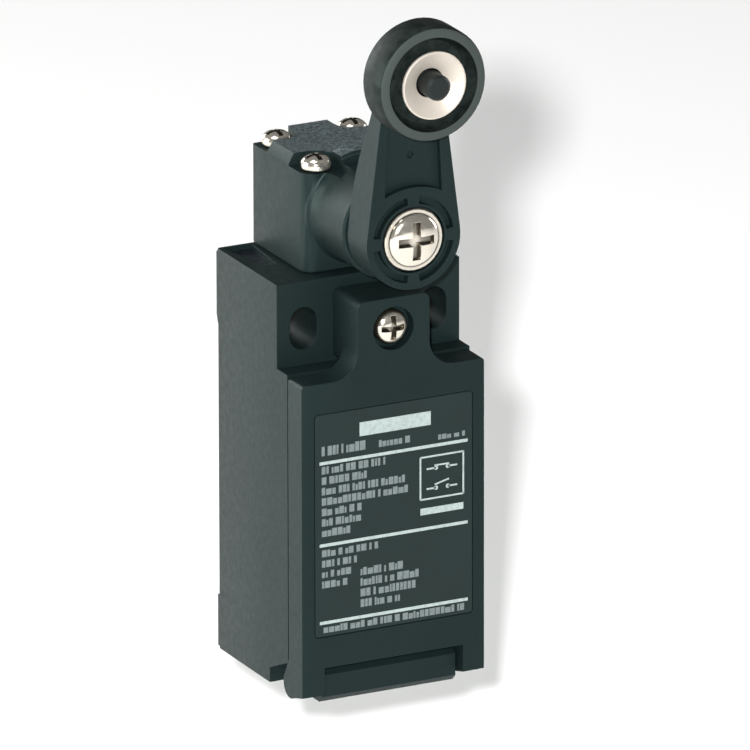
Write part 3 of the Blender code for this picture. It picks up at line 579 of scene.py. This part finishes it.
def seal_lip(name, bars, material):
    """The rubber that fills the joint between the cover and the housing."""
    shape = bmesh.new()
    for across, forward, height in bars:
        low = Vector((across[0], -forward[1], height[0]))
        high = Vector((across[1], -forward[0], height[1]))
        made = bmesh.ops.create_cube(shape, size=1.0)["verts"]
        bmesh.ops.scale(shape, vec=high - low, verts=made)
        bmesh.ops.translate(shape, vec=(low + high) / 2, verts=made)
    placement = Matrix.Translation(HOUSING_FOOT_LINE) @ Matrix.Scale(MM, 4)
    piece = piece_from(shape, name, placement, material)
    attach(piece, "body")


# ------------------------------------------------------------------ stage

def add_floor():
    bpy.ops.mesh.primitive_plane_add(size=FLOOR_SIZE, location=(0, 0, cad_box[0].z - FLOOR_DROP))
    floor = bpy.context.object
    floor.name = "floor"
    paint(floor, floor_finish())


def direction_at(azimuth, elevation):
    """Unit vector from the object towards a place: azimuth 0 is in front, -90 to the left."""
    turn, rise = math.radians(azimuth), math.radians(elevation)
    return Vector((math.sin(turn) * math.cos(rise), -math.cos(turn) * math.cos(rise), math.sin(rise)))


def add_area(name, azimuth, elevation, distance, size, power, colour=(1, 1, 1)):
    """A square soft light that faces the object."""
    towards = direction_at(azimuth, elevation)
    lamp = bpy.data.lights.new(name, "AREA")
    lamp.shape = "SQUARE"
    lamp.size = size
    lamp.energy = power
    lamp.color = colour
    light = bpy.data.objects.new(name, lamp)
    light.location = towards * distance
    light.rotation_mode = "QUATERNION"
    light.rotation_quaternion = (-towards).to_track_quat("-Z", "Y")
    bpy.context.scene.collection.objects.link(light)


def add_lights():
    """Soft lights all round, and a small one near the camera, which draws the shadow behind the object."""
    add_area("key_left", -112, 12, distance=0.75, size=0.5, power=7.6, colour=(0.97, 1.0, 0.95))
    add_area("top_soft", -70, 72, distance=0.9, size=0.45, power=2.0)
    add_area("right_soft", 95, 8, distance=2.5, size=1.2, power=26.0)
    add_area("back_soft", -164, 8, distance=2.5, size=1.2, power=34.0)
    add_area("front_small", -28.1, 19.8, distance=2.0, size=0.05, power=76.0)
    world = bpy.data.worlds.new("studio")
    world.use_nodes = True
    background = world.node_tree.nodes["Background"]
    background.inputs["Color"].default_value = (1, 1, 1, 1)
    background.inputs["Strength"].default_value = WORLD_STRENGTH
    bpy.context.scene.world = world


def add_camera():
    turn = math.radians(CAMERA_AZIMUTH)
    back = direction_at(CAMERA_AZIMUTH, CAMERA_ELEVATION)
    right = Vector((math.cos(turn), math.sin(turn), 0))
    up = back.cross(right)
    data = bpy.data.cameras.new("camera")
    data.sensor_width = SENSOR_WIDTH
    data.lens = CAMERA_LENS
    data.clip_end = CAMERA_CLIP
    camera = bpy.data.objects.new("camera", data)
    aim = HOUSING_FOOT_LINE + right * CAMERA_RIGHT + up * CAMERA_UP
    camera.location = aim + back * CAMERA_DISTANCE
    camera.rotation_mode = "QUATERNION"
    roll = Quaternion(back, math.radians(CAMERA_ROLL))
    camera.rotation_quaternion = roll @ Matrix((right, up, back)).transposed().to_quaternion()
    bpy.context.scene.collection.objects.link(camera)
    bpy.context.scene.camera = camera


def make_finishes():
    """One finish for each material slot of the record."""
    low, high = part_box("roller")
    return {
        "body_plastic": moulded("body_plastic", PLASTIC, 0.46),
        "roller_plastic": roller_moulding("roller_plastic", (low + high) / 2, (high.x - low.x) / 2),
        "black_plastic": moulded("black_plastic", INNER_PLASTIC, 0.42),
        "seal_rubber": seal_rubber(),
        "label_film": label_film(),
        # Its last argument darkens the recesses with painted shade
        "bright_nickel": plated("bright_nickel", BRIGHT_NICKEL, 0.12, 0.006 * MM, 0.9, 0.95),
        "plated_steel": plated("plated_steel", STEEL, 0.30),
        "brass": plated("brass", BRASS, 0.26),
    }


def make_special_finishes():
    """Finishes for the nodes that differ from the rest of their slot."""
    housing_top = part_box("housing")[1].z
    head_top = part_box("head")[1].z
    recess_floor = (housing_top - 0.9 * MM, housing_top - 0.5 * MM)
    head_face = (head_top - 1.2 * MM, head_top + MM)
    return {
        "housing": moulded("housing_plastic", PLASTIC, 0.46, granular=recess_floor,
                           grain_and_light_colour=HOUSING_TOP_GRAIN),
        # The head's upward top face is coloured paler: painted light on top of its real grain
        "head": moulded("head_plastic", PLASTIC, 0.46, granular=head_face, grain_and_light_colour=HEAD_TOP_GRAIN_AND_LIGHT),
        "roller_washer": plated("disc_nickel", DISC_NICKEL, 0.42, 0.002 * MM, 0.3),
    }


def build():
    finishes = make_finishes()
    finish_cad_nodes(finishes, make_special_finishes())
    for node, joint in PRESSED_SPRINGS.items():
        pressed_spring(node)
    print_label()
    conduit_thread(finishes["body_plastic"])
    seal_lip("cover_seal_lip", COVER_LIP, finishes["seal_rubber"])
    seal_lip("neck_seal_lip", NECK_LIP, finishes["seal_rubber"])
    add_floor()
    add_lights()
    add_camera()
    bpy.context.scene.view_settings.view_transform = "Standard"


build()
